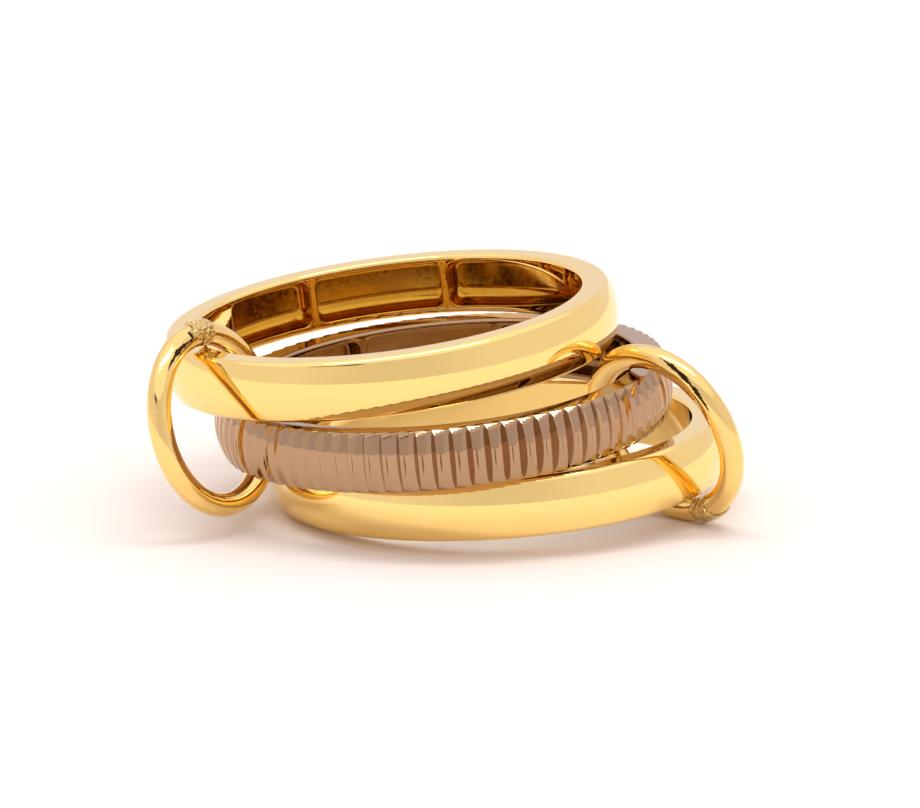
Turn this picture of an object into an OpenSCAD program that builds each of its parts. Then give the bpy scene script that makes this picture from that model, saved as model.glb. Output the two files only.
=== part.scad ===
// Interlocking ring: three bands held together by two round links.
// The whole chain lies on its side on a flat surface, as it rests by itself.
// Millimetres, +Z up, +Y away from the viewer, origin under the middle.

/* [Bands] */
// Inner diameter of every band, the finger size
inner_d = 17.3; // [15:0.1:21]
// Wall of a band at its thickest, in the middle of the dome
wall = 1.48; // [1.4:0.02:1.7]
// Height of a band along its own axis
band_h = 2.68; // [2.5:0.02:2.8]
// How far the dome stands out beyond the edge of the rim
dome_rise = 0.36; // [0.25:0.01:0.45]
// Chamfer of the two inner edges
inner_edge = 0.16; // [0.1:0.01:0.2]

/* [Hollow back] */
// Depth of the cells sunk into the inner face
cell_depth = 0.86; // [0.6:0.02:0.9]
// Lip left above and below the cells
cell_lip = 0.32; // [0.28:0.01:0.4]
// Radius of the cells' corners
cell_round = 0.28; // [0.15:0.01:0.35]
// Number of ribs round the band
rib_count = 9; // [8:1:10]
// Thickness of a rib
rib_t = 0.36; // [0.3:0.02:0.5]
// Half angle of the one solid stretch of the inner face
solid_half = 9; // [6:1:12]

/* [Flutes of the middle band] */
// Number of flutes
flute_count = 80; // [60:2:90]
// Depth of the groove between two flutes
flute_depth = 0.17; // [0.1:0.01:0.2]

/* [Links] */
// Wire of a link
wire_d = 1.06; // [1:0.02:1.1]
// Mean diameter of a link
link_d = 7.54; // [7.5:0.01:7.6]
// How proud the lump of solder stands on the outside of the link
solder_rise = 0.14; // [0.1:0.02:0.24]
// Half the length of the lump along the wire, less its round ends
solder_half = 0.42; // [0.3:0.02:0.5]

/* [Hidden] */
$fn = 96;

ri = inner_d / 2;
ro = ri + wall;
half_h = band_h / 2;
// the dome is one arc through both rim edges and the middle
dome_r = (half_h * half_h + dome_rise * dome_rise) / (2 * dome_rise);
dome_c = ro - dome_r;
rib_step = 360 / rib_count;
rib_first = 34;
solid_rib = 3;
// how much less deep each longer sector of a cell is
cell_ease = 0.015;
flute_step = 360 / flute_count;
flute_arc = 76;
link_r = link_d / 2;
wire_r = wire_d / 2;

// Where the pieces lie: middle, then the lean of the axis about X and Y
// (links: the heading and the rise of the axis, and the place of the solder).
//            x       y      z       about X  about Y
top_at =    [-2.46,  0.79,  7.49,    -0.24,   -7.25];
middle_at = [-0.12, -0.79,  4.84,     1.05,   -5.43];
bottom_at = [ 2.29,  0.30,  2.043,   -0.64,   -4.10];
//            x       y      z       heading  rise   solder
left_at =   [-10.18, -4.04, 4.84,    -34.0,   15.5,  175];
right_at =  [ 9.59,  -3.66, 4.13,     47.0,   17.3,  335];

module at_band(p) {
  translate([p[0], p[1], p[2]])
    rotate([p[3], p[4], 0])
      children();
}

module at_link(p) {
  translate([p[0], p[1], p[2]])
    rotate([0, 90 - p[4], p[3]])
      children();
}

// Section of a band in the plane of its axis: flat inside with
// chamfered edges, domed outside.
module band_section() {
  intersection() {
    polygon([
      [ri, -half_h + inner_edge],
      [ri + inner_edge, -half_h],
      [ro + 1, -half_h],
      [ro + 1, half_h],
      [ri + inner_edge, half_h],
      [ri, half_h - inner_edge]
    ]);
    translate([dome_c, 0])
      circle(r = dome_r, $fn = 180);
  }
}

module plain_band() {
  rotate_extrude($fn = 180)
    band_section();
}

// One cell of the hollow back, from angle a0 to a1. Three nested sectors,
// each lower, longer and less deep than the one before, round its corners.
module cell(a0, a1) {
  tall = band_h - 2 * cell_lip;
  for (step = [0 : 2]) {
    turn = 45 * step;
    inset = asin(cell_round * (1 - sin(turn)) / ri);
    low = cell_round * (1 - cos(turn));
    rotate([0, 0, a0 + inset])
      rotate_extrude(angle = a1 - a0 - 2 * inset, $fn = 180)
        translate([ri - 1, -tall / 2 + low])
          square([1 + cell_depth - cell_ease * step, tall - 2 * low]);
  }
}

// All cells: a thin rib between two cells, one of them widened. The first
// cell can be longer to the right by an angle; it takes its rib's place
// there, and the cell beyond it is left out.
module cells(longer = 0) {
  thin = asin(rib_t / 2 / ri);
  last = longer > 0 ? rib_count - 2 : rib_count - 1;
  for (k = [0 : last]) {
    start = k == solid_rib ? solid_half : thin;
    stop = (k + 1) % rib_count == solid_rib ? solid_half : thin;
    cell(
      rib_first + k * rib_step + (k == 0 ? start - longer : start),
      rib_first + (k + 1) * rib_step - stop
    );
  }
}

// One V groove that follows the dome over both rim edges.
module flute_cut() {
  translate([dome_c, 0, 0])
    rotate([90, 0, 0])
      rotate([0, 0, -flute_arc / 2])
        rotate_extrude(angle = flute_arc, $fn = 90)
          polygon([
            [dome_r - flute_depth, 0],
            [dome_r + flute_depth, 2 * flute_depth],
            [dome_r + flute_depth, -2 * flute_depth]
          ]);
}

module flutes() {
  for (k = [0 : flute_count - 1])
    rotate([0, 0, (k + 0.5) * flute_step])
      flute_cut();
}

module top_band() {
  color("gold")
    at_band(top_at)
      difference() {
        plain_band();
        cells(longer = 12);
      }
}

module middle_band() {
  color("rosybrown")
    at_band(middle_at)
      difference() {
        plain_band();
        cells();
        flutes();
      }
}

module bottom_band() {
  color("gold")
    at_band(bottom_at)
      plain_band();
}

// Rough lump of solder over the joint of a link, one with the wire: proud
// on the outside, flush with the wire on the inside, where a band passes.
module solder(a) {
  r = wire_r + solder_rise / 2;
  rotate([0, 0, a])
    translate([link_r + solder_rise / 2, 0, 0])
      hull() {
        for (s = [-1, 1]) {
          translate([0, solder_half * s, 0])
            sphere(r = r * 0.88, $fn = 11);
          translate([0, solder_half * s / 2, r * 0.1 * s])
            sphere(r = r, $fn = 9);
        }
      }
}

module link(p) {
  at_link(p) {
    rotate_extrude($fn = 120)
      translate([link_r, 0])
        circle(r = wire_r, $fn = 40);
    solder(p[5]);
  }
}

module left_link() {
  color("gold")
    link(left_at);
}

module right_link() {
  color("gold")
    link(right_at);
}

top_band();
middle_band();
bottom_band();
left_link();
right_link();
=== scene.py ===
import math

import bmesh
import bpy
import numpy as np
from mathutils import Euler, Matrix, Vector


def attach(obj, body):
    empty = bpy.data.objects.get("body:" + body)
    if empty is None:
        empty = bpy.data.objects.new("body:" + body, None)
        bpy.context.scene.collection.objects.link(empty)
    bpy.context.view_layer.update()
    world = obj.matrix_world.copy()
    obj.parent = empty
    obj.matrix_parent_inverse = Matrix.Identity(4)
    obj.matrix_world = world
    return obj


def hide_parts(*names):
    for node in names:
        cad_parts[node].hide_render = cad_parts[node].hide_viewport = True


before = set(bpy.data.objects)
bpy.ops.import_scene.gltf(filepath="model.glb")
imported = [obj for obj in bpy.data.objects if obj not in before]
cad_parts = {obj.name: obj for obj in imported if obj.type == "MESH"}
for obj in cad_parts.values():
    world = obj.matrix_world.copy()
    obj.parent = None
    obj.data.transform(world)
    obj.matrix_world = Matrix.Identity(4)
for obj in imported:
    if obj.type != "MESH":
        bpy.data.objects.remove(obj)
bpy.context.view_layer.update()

# Camera. A long lens in front of the ring and a little above it, at the
# photo's viewing angle. It looks at a point between the bands.
AIM = Vector((0.00061, -0.00531, 0.00584))
CAMERA_DISTANCE = 0.4015
CAMERA_RISE = math.radians(14.1)
PHOTO_WIDTH_PX = 920
FOCAL_PX = 9220
SENSOR_MM = 36
camera = bpy.data.objects.new("camera", bpy.data.cameras.new("camera"))
bpy.context.scene.collection.objects.link(camera)
camera.data.sensor_fit = "HORIZONTAL"
camera.data.sensor_width = SENSOR_MM
camera.data.lens = SENSOR_MM * FOCAL_PX / PHOTO_WIDTH_PX
camera.data.clip_start = 0.01
camera.data.clip_end = 10
towards_camera = Vector((0, -math.cos(CAMERA_RISE), math.sin(CAMERA_RISE)))
camera.location = AIM + towards_camera * CAMERA_DISTANCE
camera.rotation_euler = (-towards_camera).to_track_quat("-Z", "Y").to_euler()
bpy.context.scene.camera = camera

# Top band. A cast ring of 18 carat yellow gold, domed and mirror polished
# outside. Its back is hollowed to save weight, with thin ribs left between the
# cells. One stretch is solid, and the cell at the right runs out to a point.
MM = 0.001
TURN = 2 * math.pi
WELD_REACH = 0.0002
# Finish numbers. The tumbled finish's materials are also darker, as painted shade in the cells.
POLISHED = 0
TUMBLED_SHADED = 1
AS_CAST = 2
BAND_INNER_R = 8.65
BAND_WALL = 1.48
HALF_H = 1.34
DOME_RISE = 0.36
INNER_EDGE = 0.16
SHOULDER_R = 0.32
CELL_DEPTH = 0.86
CELL_LIP = 0.32
CELL_CORNER = 0.38
CORNER_EASE = 0.5
SQUARE_CORNER = 1e-5
HALF_CORNER_STEPS = 6
CELL_STRIP = 0.03
CELL_BRIM = 0.05
CELL_SET_IN = 0.01
CELL_WALL = 0.1
CELL_FILLET = 0.22
CELL_SCOOP = 0.7
FLOOR_ROWS = 12
RIB_COUNT = 9
RIB_FIRST = math.radians(34)
RIB_HALF = 0.18
SOLID_RIB = 3
SOLID_HALF = math.radians(9)
RUN_OUT = math.radians(21)
RUN_OUT_REACH = math.radians(47)
RUN_OUT_LEAST = 0.02
HAZE_FROM = 0.35
HAZE_TO = 0.75
BAND_OUTER_R = BAND_INNER_R + BAND_WALL
INNER_TOP = HALF_H - INNER_EDGE
DOME_R = (HALF_H**2 + DOME_RISE**2) / (2 * DOME_RISE)
DOME_C = BAND_OUTER_R - DOME_R
QUARTER = np.radians([0, 22.5, 45, 67.5, 90])
TOP_AT = (-2.46, 0.79, 7.49)
TOP_LEAN = (-0.24, -7.25, 0)


def linear(hex_colour):
    """An sRGB hex colour as linear RGBA."""
    parts = [int(hex_colour[i : i + 2], 16) / 255 for i in (0, 2, 4)]
    bent = [c / 12.92 if c <= 0.04045 else ((c + 0.055) / 1.055) ** 2.4 for c in parts]
    return (*bent, 1)


def node(tree, kind, links=(), **settings):
    """Adds a node with its own settings, and sets or links its inputs, given by name or number."""
    made = tree.nodes.new(kind)
    for name, value in settings.items():
        setattr(made, name, value)
    for socket, value in dict(links).items():
        if isinstance(value, bpy.types.NodeSocket):
            tree.links.new(value, made.inputs[socket])
        else:
            made.inputs[socket].default_value = value
    return made


class Skin:
    """The faces of one piece in its own frame, in mm, gathered grid by grid and welded at the end."""

    def __init__(self):
        self.points = []
        self.faces = []
        self.finish = []
        self.count = 0

    def add(self, points, faces, finish=0):
        """Adds faces; finish is the number of their material, one for all or one each."""
        self.points.append(np.asarray(points).reshape(-1, 3))
        self.faces += (np.asarray(faces) + self.count).tolist()
        self.finish += np.broadcast_to(finish, len(faces)).tolist()
        self.count += len(self.points[-1])

    def grid(self, points, closed=False, finish=0):
        """A grid of rows by columns; a closed one joins its last column to its first."""
        ids = np.arange(points.shape[0] * points.shape[1]).reshape(points.shape[:2])
        after = np.roll(ids, -1, axis=1) if closed else ids[:, 1:]
        here = ids if closed else ids[:, :-1]
        quads = np.stack([here[:-1], after[:-1], after[1:], here[1:]], axis=-1)
        self.add(points, quads.reshape(-1, 4), finish)

    def piece(self, name, turn, at, *materials):
        """Welds the faces into one mesh where the piece lies in the ring."""
        world = np.vstack(self.points) @ np.array(Euler(turn).to_matrix()).T + np.array(at)
        mesh = bpy.data.meshes.new(name)
        mesh.from_pydata((world * MM).tolist(), [], self.faces)
        mesh.polygons.foreach_set("use_smooth", [True] * len(mesh.polygons))
        mesh.polygons.foreach_set("material_index", self.finish)
        weld = bmesh.new()
        weld.from_mesh(mesh)
        bmesh.ops.remove_doubles(weld, verts=weld.verts, dist=WELD_REACH * MM)
        bmesh.ops.recalc_face_normals(weld, faces=weld.faces)
        weld.to_mesh(mesh)
        weld.free()
        for material in materials:
            mesh.materials.append(material)
        made = bpy.data.objects.new(name, mesh)
        bpy.context.scene.collection.objects.link(made)
        return made


def ring(rows, angles):
    """Points all round for rows of (radius, height), each a number or an array over the angles."""
    grid = np.empty((len(rows), len(angles), 3))
    for i, (r, z) in enumerate(rows):
        grid[i] = np.stack([r * np.cos(angles), r * np.sin(angles), z + 0 * angles], axis=-1)
    return grid


def dome_rows(shoulder=SHOULDER_R, steps=36, bends=9, crowd=0):
    """Rows of the outer face: top shoulder, dome, bottom shoulder. crowd, 0 to 1, moves rows to the rims."""
    end = DOME_R - shoulder
    turn_r = DOME_C + math.sqrt(end**2 - (HALF_H - shoulder) ** 2)
    meet = math.asin((HALF_H - shoulder) / end)
    top = []
    for part in np.linspace(0, 1, bends, endpoint=False):
        bend = math.pi / 2 * (1 - part) + meet * part
        top.append((turn_r + shoulder * math.cos(bend), HALF_H - shoulder + shoulder * math.sin(bend)))
    dome = []
    for part in np.linspace(1, -1, steps + 1):
        rise = meet * ((1 - crowd) * part + crowd * math.sin(part * math.pi / 2))
        dome.append((DOME_C + DOME_R * math.cos(rise), DOME_R * math.sin(rise)))
    return top + dome + [(r, -z) for r, z in top[::-1]]


def inner_edge_rows():
    """Rows from the inner face round the softened inner edge to the flat rim."""
    rows = []
    for a in QUARTER:
        out = INNER_EDGE * (1 - math.cos(a))
        rows.append((BAND_INNER_R + out, INNER_TOP + INNER_EDGE * math.sin(a)))
    return rows


def rim_rows(reach, parts=(0.03, 0.35, 0.7, 0.97)):
    """Rows across the flat rim, from the inner edge out to where the shoulder starts."""
    start = BAND_INNER_R + INNER_EDGE
    return [(start + (reach - start) * part, HALF_H) for part in parts]


def mirrored(rows):
    return [(r, -z) for r, z in rows[::-1]]


def loop(x0, x1, z0, z1, corner, across, up):
    """A rectangle with round corners, from its low left corner, each side evenly spaced."""
    bends = np.radians(np.linspace(0, 90, 2 * HALF_CORNER_STEPS + 1))
    corners = [(x0, z0, 1, 1), (x1, z0, -1, 1), (x1, z1, -1, -1), (x0, z1, 1, -1)]
    arcs = []
    for k, (x, z, in_x, in_z) in enumerate(corners):
        angle = math.pi * (1 + k / 2) + bends
        x_run = x + in_x * corner + corner * np.cos(angle)
        arcs.append(np.stack([x_run, z + in_z * corner + corner * np.sin(angle)], axis=1))
    sides = []
    for k, count in enumerate((across, up, across, up)):
        run = np.vstack([arcs[k][HALF_CORNER_STEPS:], arcs[(k + 1) % 4][: HALF_CORNER_STEPS + 1]])
        way = np.r_[0, np.cumsum(np.hypot(*np.diff(run, axis=0).T))]
        want = np.linspace(0, way[-1], count, endpoint=False)
        sides.append(np.stack([np.interp(want, way, run[:, i]) for i in (0, 1)], axis=1))
    return np.vstack(sides)


def filled(edge, across, up):
    """A grid that fills a loop, even between its four sides."""
    a, b, c = across, across + up, 2 * across + up
    low, high = edge[: a + 1], edge[b : c + 1][::-1]
    left, right = np.vstack([edge[c:], edge[:1]])[::-1], edge[a : b + 1]
    s = np.linspace(0, 1, across + 1)[None, :, None]
    t = np.linspace(0, 1, up + 1)[:, None, None]
    sides = (1 - t) * low + t * high + (1 - s) * left[:, None] + s * right[:, None]
    ends = (1 - s) * ((1 - t) * edge[0] + t * edge[c]) + s * ((1 - t) * edge[a] + t * edge[b])
    return sides - ends


def hollow_back(skin, runs_out=False, across=56, up=12):
    """The inner face with its cells, tile by tile from rib to rib. Returns the angles of its columns.

    A cell's floor sweeps up at the bottom in a wide scoop. Where the back runs out, the first
    cell has no rib at its right: it gets lower and shallower there, and the face beyond it is
    plain. The lips are polished, the cells tumbled and the ribs left as cast. The cells'
    material is darker than the lips', as painted shade in the hollows.
    """
    r = BAND_INNER_R
    step = TURN / RIB_COUNT
    thin = math.asin(RIB_HALF / r)
    mouth_z = HALF_H - CELL_LIP
    angles = []
    for k in range(RIB_COUNT):
        first = RIB_FIRST + k * step
        last = first + step
        if runs_out and k == 0:
            first -= RUN_OUT
        if runs_out and k == RIB_COUNT - 1:
            last -= RUN_OUT
        angles.append(np.linspace(first, last, across, endpoint=False))
        left = r * (first + (SOLID_HALF if k == SOLID_RIB else thin))
        right = r * (last - (SOLID_HALF if k + 1 == SOLID_RIB else thin))
        # Each step of a cell is how far it lies inside the mouth, how much more its lower side
        # is swept up, and its depth: a flat strip, the round brim, then the wall and the scoop.
        steps = [(-CELL_BRIM - CELL_STRIP, 0, 0)]
        for a in QUARTER:
            steps.append((CELL_BRIM * (math.sin(a) - 1), 0, CELL_BRIM * (1 - math.cos(a))))
        for a in np.radians(np.linspace(0, 90, FLOOR_ROWS)):
            swept = 1 - math.cos(a)
            inset = CELL_SET_IN + CELL_FILLET * swept
            depth = CELL_DEPTH - (CELL_DEPTH - CELL_BRIM - CELL_WALL) * (1 - math.sin(a))
            steps.append((inset, (CELL_SCOOP - CELL_FILLET) * swept, depth))
        rings = [loop(first * r, last * r, -INNER_TOP, INNER_TOP, SQUARE_CORNER, across, up)]
        depths = [0]
        for by, scooped, depth in steps:
            low = by + scooped - mouth_z
            corner = CELL_CORNER - CORNER_EASE * by
            rings.append(loop(left + by, right - by, low, mouth_z - by, corner, across, up))
            depths.append(depth)
        wall = np.stack([np.c_[run, np.full(len(run), d)] for run, d in zip(rings, depths)])
        if runs_out and k == 0:
            part = np.clip((wall[1:, :, 0] / r - first) / RUN_OUT_REACH, RUN_OUT_LEAST, 1)
            wall[1:, :, 1:] *= np.sin(part * math.pi / 2)[..., None]
        face = np.full(len(wall[0]), POLISHED)
        if k + 1 != SOLID_RIB:
            face[across : across + up] = AS_CAST
        if k != SOLID_RIB and not (runs_out and k == 0):
            face[2 * across + up :] = AS_CAST
        floor = filled(wall[-1], across, up)
        tiles = [(wall[:2], True, face), (wall[1:], True, TUMBLED_SHADED), (floor, False, TUMBLED_SHADED)]
        if runs_out and k == RIB_COUNT - 1:
            tiles = [(filled(wall[0], across, up), False, POLISHED)]
        for flat, closed, finish in tiles:
            turn = flat[..., 0] / r
            x = (r + flat[..., 2]) * np.cos(turn)
            y = (r + flat[..., 2]) * np.sin(turn)
            skin.grid(np.stack([x, y, flat[..., 1]], axis=-1), closed, finish)
    return np.concatenate(angles)


def metal(name, dark, light, tone_mm, haze_mm, rough, waves, pits):
    """A polished metal: its tone and haze drift over the surface, with waves and pits in its relief.

    tone_mm and haze_mm are the sizes of their patches, and rough is the lowest and the highest
    roughness. waves holds rows of (size in mm, height in mm), and pits the spacing, the reach
    and the depth of small pits in mm.
    """
    made = bpy.data.materials.new(name)
    made.use_nodes = True
    tree = made.node_tree
    tree.nodes.clear()
    place = node(tree, "ShaderNodeTexCoord").outputs["Object"]
    tone = node(tree, "ShaderNodeTexNoise", {"Vector": place, "Scale": 1 / (tone_mm * MM), "Detail": 3})
    colour = node(
        tree,
        "ShaderNodeMix",
        {0: tone.outputs["Fac"], 6: linear(dark), 7: linear(light)},
        data_type="RGBA",
    )
    haze = node(tree, "ShaderNodeTexNoise", {"Vector": place, "Scale": 1 / (haze_mm * MM), "Detail": 4})
    shine = node(
        tree,
        "ShaderNodeMapRange",
        {
            "Value": haze.outputs["Fac"],
            "From Min": HAZE_FROM,
            "From Max": HAZE_TO,
            "To Min": rough[0],
            "To Max": rough[1],
        },
    )
    spacing, reach, depth = pits
    spots = node(tree, "ShaderNodeTexVoronoi", {"Vector": place, "Scale": 1 / (spacing * MM)})
    pit = node(
        tree,
        "ShaderNodeMapRange",
        {"Value": spots.outputs["Distance"], "From Min": 0, "From Max": reach / spacing},
        interpolation_type="SMOOTHSTEP",
    )
    relief = node(tree, "ShaderNodeBump", {"Height": pit.outputs[0], "Strength": 1, "Distance": depth * MM})
    for size, height in waves:
        wave = node(tree, "ShaderNodeTexNoise", {"Vector": place, "Scale": 1 / (size * MM), "Detail": 1})
        relief = node(
            tree,
            "ShaderNodeBump",
            {
                "Height": wave.outputs["Fac"],
                "Strength": 1,
                "Distance": height * MM,
                "Normal": relief.outputs[0],
            },
        )
    surface = node(
        tree,
        "ShaderNodeBsdfPrincipled",
        {
            "Base Color": colour.outputs[2],
            "Metallic": 1.0,
            "Roughness": shine.outputs[0],
            "Normal": relief.outputs[0],
        },
    )
    node(tree, "ShaderNodeOutputMaterial", {"Surface": surface.outputs[0]})
    return made


# 18 carat yellow gold, buffed: a clear mirror with faint waves and a few pits.
gold = metal(
    "gold_18ct_buffed", "FFE08E", "FFDE8A", tone_mm=4, haze_mm=0.6, rough=(0.02, 0.055),
    waves=[(2.6, 0.0016), (0.35, 0.00012)], pits=(0.9, 0.03, 0.004),
)
# The same gold where no wheel reaches: tumbled only, so its mirror is blurred. Its colour is darker and more
# orange than the buffed gold, as painted shade in the cells.
gold_inside_shaded = metal(
    "gold_18ct_tumbled_painted_shade", "DCA438", "C48C2A", tone_mm=1.2, haze_mm=0.25, rough=(0.1, 0.2),
    waves=[(0.9, 0.003), (0.12, 0.0006)], pits=(0.5, 0.04, 0.006),
)
# The ribs keep the skin of the casting: a fine grain that glows instead of mirroring. Its colour is brighter
# than the tumbled gold around it, as painted light that the ribs catch.
gold_cast_lit = metal(
    "gold_18ct_as_cast_painted_light", "FFC040", "FFB030", tone_mm=0.6, haze_mm=0.2, rough=(0.25, 0.45),
    waves=[(0.5, 0.01), (0.1, 0.002)], pits=(0.3, 0.05, 0.01),
)
shoulder_start = dome_rows()[0][0]
top_skin = Skin()
top_angles = hollow_back(top_skin, runs_out=True)
upper = inner_edge_rows() + rim_rows(shoulder_start)
top_skin.grid(ring(upper + dome_rows() + mirrored(upper), top_angles), closed=True)
top_band = top_skin.piece(
    "top_band_gold", [math.radians(a) for a in TOP_LEAN], TOP_AT, gold, gold_inside_shaded, gold_cast_lit
)
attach(top_band, "root")
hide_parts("top_band")

# Middle band. The same casting, cut all round with passes of a pointed cutter
# and plated rose-brown. A pass is flatter than the dome, so that it bites
# deepest in the middle, and the rims have short slanting cuts of their own.
FLUTE_COUNT = 80
FLUTE_DEPTH = 0.19
FLUTE_FOLLOWS = 0.82
FLUTE_LEAST = 0.01
STEEP_SLOPE = 1.55
EASY_SLOPE = 0.58
NICK_DEPTH = 0.05
NICK_LEAST = 0.002
NICK_SLOPE = 0.85
END_FROM = 1.16
END_SINK = 0.1
END_FALL = 1.2
END_EASY = 0.22
END_STEEP = 1.7
FLUTE_SHOULDER = 0.07
FLUTE_SHARP = math.radians(17)
FLUTE_PITCH = TURN * BAND_OUTER_R / FLUTE_COUNT
RIM_REACH = 9.3
MIDDLE_AT = (-0.12, -0.79, 4.84)
MIDDLE_LEAN = (1.05, -5.43, 0)


def fluted_row(z, plain_r):
    """One row of the fluted face: the radius and the angle of each of its columns.

    A flute runs from the bottom of one groove up its steep flank, over the face with its nick,
    and down the easy flank to the next groove.
    """
    fall = BAND_OUTER_R - plain_r
    bottom = BAND_OUTER_R - FLUTE_DEPTH - FLUTE_FOLLOWS * fall
    depth = max(plain_r - bottom, FLUTE_LEAST)
    steep = depth / STEEP_SLOPE
    easy = depth / EASY_SLOPE
    face = FLUTE_PITCH - steep - easy
    nick = max(NICK_DEPTH - fall, NICK_LEAST)
    nick_half = nick / NICK_SLOPE
    nick_at = steep + face / 2
    # Where the columns stand, as shares of the steep flank, the face, the nick and the easy flank.
    x = np.concatenate(
        [
            steep * np.array([0, 0.35, 0.7, 1]),
            steep + face * np.array([0.08, 0.2]),
            nick_at + nick_half * np.array([-1, -0.5, 0, 0.5, 1]),
            steep + face * np.array([0.8, 0.92]),
            FLUTE_PITCH - easy * np.array([1, 0.75, 0.5, 0.25, 0.08]),
        ]
    )
    cut = np.maximum(depth - x * STEEP_SLOPE, depth - (FLUTE_PITCH - x) * EASY_SLOPE)
    cut = np.maximum(cut, nick - np.abs(x - nick_at) * NICK_SLOPE)
    r = plain_r - np.maximum(cut, 0)
    end = BAND_OUTER_R - FLUTE_DEPTH - END_FALL * (abs(z) - END_FROM) - END_SINK
    for away, slope in ((x, END_EASY), (FLUTE_PITCH - x, END_STEEP)):
        r = np.minimum(r, end + away * slope)
    turns = (np.arange(FLUTE_COUNT)[:, None] + 0.5 + x[None] / FLUTE_PITCH) * (TURN / FLUTE_COUNT)
    return np.tile(r, FLUTE_COUNT), turns.ravel()


def zip_rings(skin, inner, outer):
    """Joins two rings of points of different counts with triangles; each starts at its first angle."""
    inner_turn = np.unwrap(np.arctan2(inner[:, 1], inner[:, 0]))
    outer_turn = np.unwrap(np.arctan2(outer[:, 1], outer[:, 0]))
    start = int(np.argmin(np.abs((inner_turn - outer_turn[0] + math.pi) % TURN - math.pi)))
    inner = np.roll(inner, -start, axis=0)
    inner_turn = np.unwrap(np.arctan2(inner[:, 1], inner[:, 0]))
    inner_turn += TURN * round((outer_turn[0] - inner_turn[0]) / TURN)
    n, m = len(inner), len(outer)
    faces = []
    i = j = 0
    while i < n or j < m:
        next_in = inner_turn[i + 1] if i + 1 < n else inner_turn[0] + TURN
        next_out = outer_turn[j + 1] if j + 1 < m else outer_turn[0] + TURN
        if j >= m or (i < n and next_in <= next_out):
            faces.append((i % n, (i + 1) % n, n + j % m))
            i += 1
        else:
            faces.append((i % n, n + (j + 1) % m, n + j % m))
            j += 1
    skin.add(np.vstack([inner, outer]), faces)


# Gold plated rose-brown over the cuts: darker than the gold, its mirror a little softer.
rose = metal(
    "rose_brown_plate_polished", "B89573", "B09170", tone_mm=1.5, haze_mm=0.3, rough=(0.04, 0.11),
    waves=[(0.5, 0.0012), (0.1, 0.0004)], pits=(0.45, 0.03, 0.006),
)
# The plate where no wheel reaches: thinner and dull, with the yellow gold showing through. Its colour is
# also darker than the polished plate, as painted shade inside the band.
rose_inside_shaded = metal(
    "rose_brown_plate_tumbled_painted_shade", "9C7340", "835E3C", tone_mm=1.2, haze_mm=0.25, rough=(0.12, 0.24),
    waves=[(0.9, 0.003), (0.12, 0.0006)], pits=(0.5, 0.04, 0.006),
)
middle_skin = Skin()
middle_angles = hollow_back(middle_skin)
fluted = []
for plain_r, z in dome_rows(FLUTE_SHOULDER, steps=30, bends=5, crowd=0.5):
    r, turns = fluted_row(z, plain_r)
    fluted.append(np.stack([r * np.cos(turns), r * np.sin(turns), z + 0 * turns], axis=-1))
middle_skin.grid(np.stack(fluted), closed=True)
for side, edge in ((1, fluted[0]), (-1, fluted[-1])):
    rows = [(r, z * side) for r, z in inner_edge_rows() + rim_rows(RIM_REACH)]
    inner = ring(rows, middle_angles)
    middle_skin.grid(inner, closed=True)
    zip_rings(middle_skin, inner[-1], edge)
middle_turn = [math.radians(a) for a in MIDDLE_LEAN]
middle_band = middle_skin.piece(
    "middle_band_rose", middle_turn, MIDDLE_AT, rose, rose_inside_shaded, rose_inside_shaded
)
middle_band.data.set_sharp_from_angle(angle=FLUTE_SHARP)
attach(middle_band, "root")
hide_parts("middle_band")

# Bottom band. The same domed ring of polished yellow gold, but solid, with a
# smooth polished inner face.
BOTTOM_AT = (2.29, 0.30, 2.043)
BOTTOM_LEAN = (-0.64, -4.10, 0)
BOTTOM_COLUMNS = 720
INNER_ROWS = 7
INNER_SHARE = 0.98
bottom_skin = Skin()
bottom_angles = np.linspace(0, TURN, BOTTOM_COLUMNS, endpoint=False)
inner_heights = INNER_TOP * np.linspace(-INNER_SHARE, INNER_SHARE, INNER_ROWS)
inner_face = [(BAND_INNER_R, z) for z in inner_heights]
bottom_rows = inner_face + upper + dome_rows() + mirrored(upper)
bottom_rows.append(bottom_rows[0])
bottom_skin.grid(ring(bottom_rows, bottom_angles), closed=True)
bottom_band = bottom_skin.piece(
    "bottom_band_gold", [math.radians(a) for a in BOTTOM_LEAN], BOTTOM_AT, gold
)
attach(bottom_band, "root")
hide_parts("bottom_band")

# Links. Round gold wire bent by hand into a ring through two bands and closed
# with a lump of paler solder, which is left rough. The left one joins the top
# and the middle band, the right one the middle and the bottom band.
# Finish numbers of a link. The third is the flux border and also a painted dark reflection on the wire.
BARE = 0
SOLDERED = 1
FLUX_AND_DARK_REFLECTION = 2
WIRE_R = 0.53
WIRE_SIDES = 96
WIRE_RINGS = 261
LINK_R = 3.77
SOLDER_RINGS = 131
SOLDER_REACH = 0.95
SOLDER_HALF = 0.52
SOLDER_R = 0.6
SOLDER_SHIFT = 0.07
SOLDER_PROUD = 0.002
SOLDER_SHARP = math.radians(14)
FACET_COUNT = 24
FACET_LEAN = 0.85
FACET_LEAN_BY = 0.1
FACET_RISE = (-0.03, 0.07)
FACET_END = (0.8, 1)
FACET_GRAZE = 0.05
FLUSH_FROM = 0.55
FLUSH_OVER = 0.3
RAGGED_SHARE = 0.88
RAGGED_BY = 0.12
RAGGED_WAVES = (3, 7)
FLUX_RINGS = 2
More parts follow.
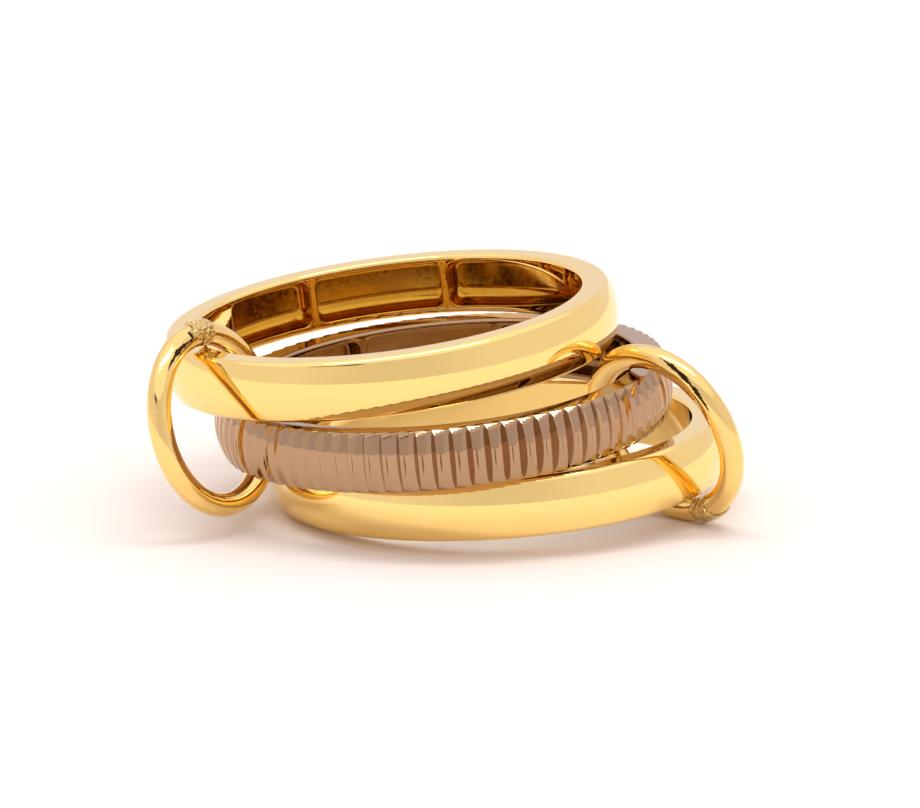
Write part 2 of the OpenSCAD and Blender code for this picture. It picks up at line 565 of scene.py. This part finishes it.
# A painted dark reflection: a thin ragged dark band on each wire, drawn in the flux's colour.
DARK_REFLECTION_HALF = 0.13
DARK_REFLECTION_FRAY = 0.3
DARK_REFLECTION_WAVES = (21, 8)
LEFT_AT = (-10.18, -4.04, 4.84)
LEFT_TURN = (0, 90 - 15.5, -34.0)
LEFT_SOLDER = math.radians(175)
LEFT_DARK_REFLECTION = (0.9, 3.5, 90, 58)
LEFT_SEED = 31
RIGHT_AT = (9.59, -3.66, 4.13)
RIGHT_TURN = (0, 90 - 17.3, 47.0)
RIGHT_SOLDER = math.radians(335)
RIGHT_DARK_REFLECTION = (14.1, 17.6, 326, 290)
RIGHT_SEED = 84


def solder_lump(along, turn, seed):
    """How far the lump of solder reaches from the wire's middle, in mm: flat facets at odd angles.

    It stands proud on the outside of the link and is flush with the wire on the inside.
    """
    draw = np.random.default_rng(seed)
    shift = SOLDER_SHIFT * np.cos(turn)
    reach = shift + np.sqrt(SOLDER_R**2 - SOLDER_SHIFT**2 + shift**2) + 0 * along
    for lean in np.linspace(-FACET_LEAN, FACET_LEAN, FACET_COUNT):
        lean += draw.uniform(-FACET_LEAN_BY, FACET_LEAN_BY)
        round_to = draw.uniform(0, TURN)
        flat = math.sqrt(1 - lean**2)
        distance = flat * (WIRE_R + draw.uniform(*FACET_RISE))
        distance += abs(lean) * SOLDER_HALF * draw.uniform(*FACET_END)
        distance += flat * SOLDER_SHIFT * math.cos(round_to)
        towards = flat * np.cos(turn - round_to)
        cut = (distance - lean * along) / np.maximum(towards, FACET_GRAZE)
        reach = np.where(towards > FACET_GRAZE, np.minimum(reach, cut), reach)
    inside = np.clip((-np.cos(turn) - FLUSH_FROM) / FLUSH_OVER, 0, 1)
    return np.maximum(reach * (1 - inside) + WIRE_R * inside, WIRE_R)


def uneven(along, waves, seed):
    """An uneven wave between -1 and 1: one sine times another of a different length."""
    return np.sin(waves[0] * along + seed) * np.sin(waves[1] * along)


def link(name, at, turn, solder, painted_reflection, seed):
    """A round wire ring, closer spaced where the solder is.

    Its last but one argument is a dark reflection painted on the wire: its start and end, in mm
    along the wire from the solder, and its angles round the wire there, in degrees. A burnt
    crust left by the soldering borders the solder on three sides.
    """
    fine = np.linspace(-1, 1, SOLDER_RINGS) * (SOLDER_REACH / LINK_R)
    coarse = np.linspace(fine[-1], TURN + fine[0], WIRE_RINGS)[1:-1]
    around = np.concatenate([fine, coarse, fine[:1] + TURN])[:, None]
    along = around * LINK_R
    turns = np.linspace(0, TURN, WIRE_SIDES, endpoint=False)[None]
    thick = np.full((len(around), turns.size), WIRE_R)
    thick[: len(fine)] = solder_lump(along[: len(fine)], turns, seed)
    reach = LINK_R + thick * np.cos(turns)
    points = [reach * np.cos(solder + around), reach * np.sin(solder + around), thick * np.sin(turns)]
    ragged = RAGGED_SHARE * SOLDER_HALF + RAGGED_BY * uneven(turns, RAGGED_WAVES, seed)
    frozen = (thick > WIRE_R + SOLDER_PROUD) | (np.abs(along) < ragged)
    dark = frozen | np.roll(frozen, 1, axis=1)
    for by in (-FLUX_RINGS, FLUX_RINGS):
        dark |= np.roll(frozen, by, axis=0)
    # The painted dark reflection: a ragged dark band round the wire, between its start and end.
    start, stop, from_angle, to_angle = painted_reflection
    part = np.clip((along - start) / (stop - start), 0, 1)
    middle = np.radians(from_angle + (to_angle - from_angle) * part)
    off = np.abs((turns - middle + math.pi) % TURN - math.pi)
    fray = 1 - DARK_REFLECTION_FRAY + DARK_REFLECTION_FRAY * uneven(part, DARK_REFLECTION_WAVES, seed)
    dark |= off * WIRE_R < DARK_REFLECTION_HALF * fray * np.sin(math.pi * part)
    finish = np.where(frozen, SOLDERED, np.where(dark, FLUX_AND_DARK_REFLECTION, BARE))
    skin = Skin()
    skin.grid(np.stack(points, axis=-1), closed=True, finish=finish[:-1].ravel())
    made = skin.piece(
        name, [math.radians(a) for a in turn], at, gold_worn, solder_metal, flux_and_dark_reflection
    )
    made.data.set_sharp_from_angle(angle=SOLDER_SHARP)
    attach(made, "root")
    return made


# The wire: the same gold, worked by hand and rubbed by wear, so its mirror ripples and is scuffed.
gold_worn = metal(
    "gold_18ct_hand_worked", "FFDD8C", "F6D182", tone_mm=1.1, haze_mm=0.35, rough=(0.08, 0.2),
    waves=[(1.3, 0.008), (0.3, 0.0015), (0.08, 0.0002)], pits=(0.34, 0.04, 0.012),
)
# Hard solder as it froze: a paler gold that never saw the wheel, crumpled and glittering.
solder_metal = metal(
    "gold_solder_as_frozen", "F4D68C", "D0AE60", tone_mm=0.2, haze_mm=0.1, rough=(0.03, 0.12),
    waves=[(0.26, 0.2), (0.1, 0.03)], pits=(0.25, 0.1, 0.09),
)
# Flux burnt on where the solder ends: a thin dark crust that hardly shines. The same dark is used for a
# streak on the wire, which is a painted dark reflection.
flux_and_dark_reflection = metal(
    "flux_crust_and_painted_reflection", "4A3616", "20160A", tone_mm=0.1, haze_mm=0.1, rough=(0.3, 0.6),
    waves=[(0.1, 0.01)], pits=(0.1, 0.03, 0.01),
)
left_link = link("left_link_wire", LEFT_AT, LEFT_TURN, LEFT_SOLDER, LEFT_DARK_REFLECTION, LEFT_SEED)
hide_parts("left_link")
right_link = link("right_link_wire", RIGHT_AT, RIGHT_TURN, RIGHT_SOLDER, RIGHT_DARK_REFLECTION, RIGHT_SEED)
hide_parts("right_link")

# Floor. A matt white board, much larger than the view. It is plain: it only
# takes the shadows and the warm light that the gold throws down.
FLOOR_HALF = 3.0
floor_mesh = bpy.data.meshes.new("floor")
corners = [(x * FLOOR_HALF, y * FLOOR_HALF, 0) for x, y in ((-1, -1), (1, -1), (1, 1), (-1, 1))]
floor_mesh.from_pydata(corners, [], [(0, 1, 2, 3)])
floor = bpy.data.objects.new("floor", floor_mesh)
bpy.context.scene.collection.objects.link(floor)
# Uncoated white paper: its fibres scatter the light, so it shows soft shadows and no mirror.
board = bpy.data.materials.new("board_matt_white_paper")
board.use_nodes = True
board.node_tree.nodes.clear()
paper = node(board.node_tree, "ShaderNodeBsdfDiffuse", {"Color": linear("F8EFE8")})
node(board.node_tree, "ShaderNodeOutputMaterial", {"Surface": paper.outputs[0]})
floor_mesh.materials.append(board)

# Light. A white tent, dimmer towards the camera, with an open seam along its
# upper edge at the left and a bright strip lamp across its roof, in front of
# the ring.
LAMP_LEVEL = 7.5
# Where the lamp starts and ends and how soft its edge is, in the sideways, the
# backward and the upward part of a unit vector towards it.
LAMP_ACROSS = (-0.4, 0.34, 0.05)
LAMP_BACK = (-0.14, 0.02, 0.02)
LAMP_UP = (0.5, 2, 0.1)
# Each row lies over the rows before it: the bearing of its middle from the
# front (right is positive), its half width, how soft its ends are, its lowest
# and highest elevation and how soft they are, all in degrees, then its level
# and its tint.
TENT = {
    "walls": (0, 181, 1, -95, 95, 1, 0.9, "FFF7FF"),
    "front": (0, 8, 50, -95, 40, 8, 0.78, "FFF6FC"),
    "upper": (0, 181, 1, 42, 95, 3, 1.13, "FDFBFF"),
    "seam": (-38, 12, 8, 35, 40, 1.5, 0.02, "FFFFFF"),
}
world = bpy.data.worlds.new("light_tent")
bpy.context.scene.world = world
world.use_nodes = True
tree = world.node_tree
tree.nodes.clear()


def within(windows):
    """1 where all values lie in their windows of (value, low, high, soft edge), and 0 beyond them."""
    inside = 1.0
    for value, low, high, soft in windows:
        for start, stop in ((low - soft, low), (high + soft, high)):
            part = node(
                tree,
                "ShaderNodeMapRange",
                {"Value": value, "From Min": start, "From Max": stop},
                interpolation_type="SMOOTHSTEP",
            )
            both = node(tree, "ShaderNodeMath", {0: inside, 1: part.outputs[0]}, operation="MULTIPLY")
            inside = both.outputs[0]
    return inside


way = node(tree, "ShaderNodeTexCoord").outputs["Generated"]
sideways, backward, upward = node(tree, "ShaderNodeSeparateXYZ", {0: way}).outputs
level_way = node(tree, "ShaderNodeVectorMath", {0: way, 1: (1, 1, 0)}, operation="MULTIPLY")
flat_way = node(tree, "ShaderNodeVectorMath", {0: level_way.outputs[0]}, operation="NORMALIZE")
lifted = node(tree, "ShaderNodeMath", {0: upward}, operation="ARCSINE").outputs[0]
glow = (0, 0, 0, 1)
for bearing, half, end_soft, low, high, edge_soft, level, tint in TENT.values():
    middle = math.radians(bearing)
    facing = node(
        tree,
        "ShaderNodeVectorMath",
        {0: flat_way.outputs[0], 1: (math.sin(middle), -math.cos(middle), 0)},
        operation="DOT_PRODUCT",
    )
    turned = node(tree, "ShaderNodeMath", {0: facing.outputs["Value"]}, operation="ARCCOSINE").outputs[0]
    widths = [math.radians(a) for a in (-1, half, end_soft)]
    heights = [math.radians(a) for a in (low, high, edge_soft)]
    inside = within([(turned, *widths), (lifted, *heights)])
    shade = [channel * level / LAMP_LEVEL for channel in linear(tint)[:3]]
    over = node(tree, "ShaderNodeMix", {0: inside, 6: glow, 7: (*shade, 1)}, data_type="RGBA")
    glow = over.outputs[2]
inside = within([(sideways, *LAMP_ACROSS), (backward, *LAMP_BACK), (upward, *LAMP_UP)])
glow = node(tree, "ShaderNodeMix", {0: inside, 6: glow, 7: (1, 1, 1, 1)}, data_type="RGBA").outputs[2]
light = node(tree, "ShaderNodeBackground", {"Color": glow, "Strength": LAMP_LEVEL})
node(tree, "ShaderNodeOutputWorld", {"Surface": light.outputs[0]})
bpy.context.scene.view_settings.view_transform = "Standard"
